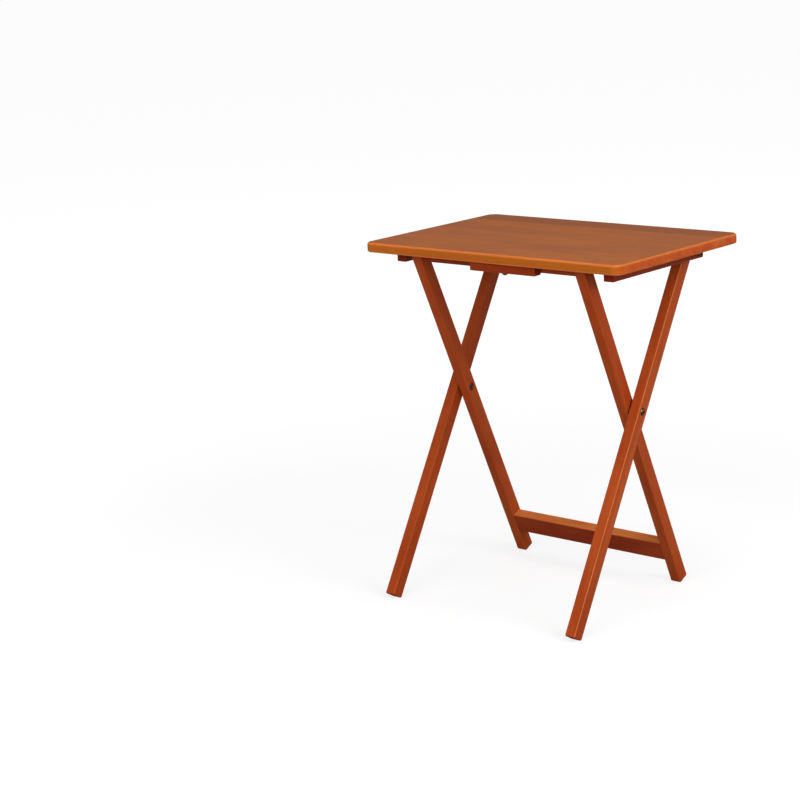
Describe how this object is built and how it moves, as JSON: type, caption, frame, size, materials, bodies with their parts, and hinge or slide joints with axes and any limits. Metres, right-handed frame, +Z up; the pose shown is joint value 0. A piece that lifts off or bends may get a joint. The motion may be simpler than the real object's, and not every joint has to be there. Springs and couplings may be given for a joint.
{
  "type": "folding tray table",
  "caption": "Folding wooden tray table with a rounded rectangular top on two pairs of crossed legs that pivot on bolts and fold flat.",
  "frame": {"origin": "on the floor under the scissor pivots, at the centre of the open table's box", "axes": "+Z up, +Y towards the back edge where the top hinges on the outer legs, +X to the right along the long edges"},
  "size_m": [0.565, 0.4432, 0.66],
  "materials": {
    "top_wood": "semi-gloss honey-cherry stain over edge-glued boards",
    "rail_wood": "semi-gloss honey-cherry stain",
    "leg_wood": "semi-gloss honey-cherry stain",
    "dowel_wood": "unfinished hardwood",
    "bolt_steel": "antique nickel plated",
    "zinc_steel": "zinc plated"
  },
  "bodies": {
    "outer_legs": {"left_outer_leg": "leg_wood", "right_outer_leg": "leg_wood", "left_pivot_bolt": "bolt_steel", "right_pivot_bolt": "bolt_steel", "left_pivot_washer": "zinc_steel", "right_pivot_washer": "zinc_steel", "left_pivot_nut": "zinc_steel", "right_pivot_nut": "zinc_steel", "left_hinge_bolt": "bolt_steel", "right_hinge_bolt": "bolt_steel", "left_hinge_nut": "zinc_steel", "right_hinge_nut": "zinc_steel"},
    "inner_legs": {"left_inner_leg": "leg_wood", "right_inner_leg": "leg_wood", "top_crossbar": "rail_wood", "lower_stretcher": "rail_wood", "left_stretcher_dowels": "dowel_wood", "right_stretcher_dowels": "dowel_wood"},
    "top": {"top_board_1": "top_wood", "top_board_2": "top_wood", "top_board_3": "top_wood", "top_board_4": "top_wood", "top_board_5": "top_wood", "top_board_6": "top_wood", "left_cleat": "rail_wood", "right_cleat": "rail_wood", "left_cleat_screws": "zinc_steel", "right_cleat_screws": "zinc_steel", "catch_block": "rail_wood", "catch_screw": "zinc_steel", "left_hinge_washer": "zinc_steel", "right_hinge_washer": "zinc_steel"}
  },
  "joints": [
    {"name": "top_tilt", "type": "hinge", "parent": "outer_legs", "child": "top", "pos_m": [0, 0.1536, 0.6284], "axis": [-1, 0, 0], "range_deg": [0, 120.3]},
    {"name": "leg_fold", "type": "hinge", "parent": "outer_legs", "child": "inner_legs", "pos_m": [0, 0, 0.3666], "axis": [-1, 0, 0], "range_deg": [0, 54.9]}
  ],
  "couplings": [
    {"joint": "leg_fold", "follows": "top_tilt", "ratio": 0.4563}
  ]
}
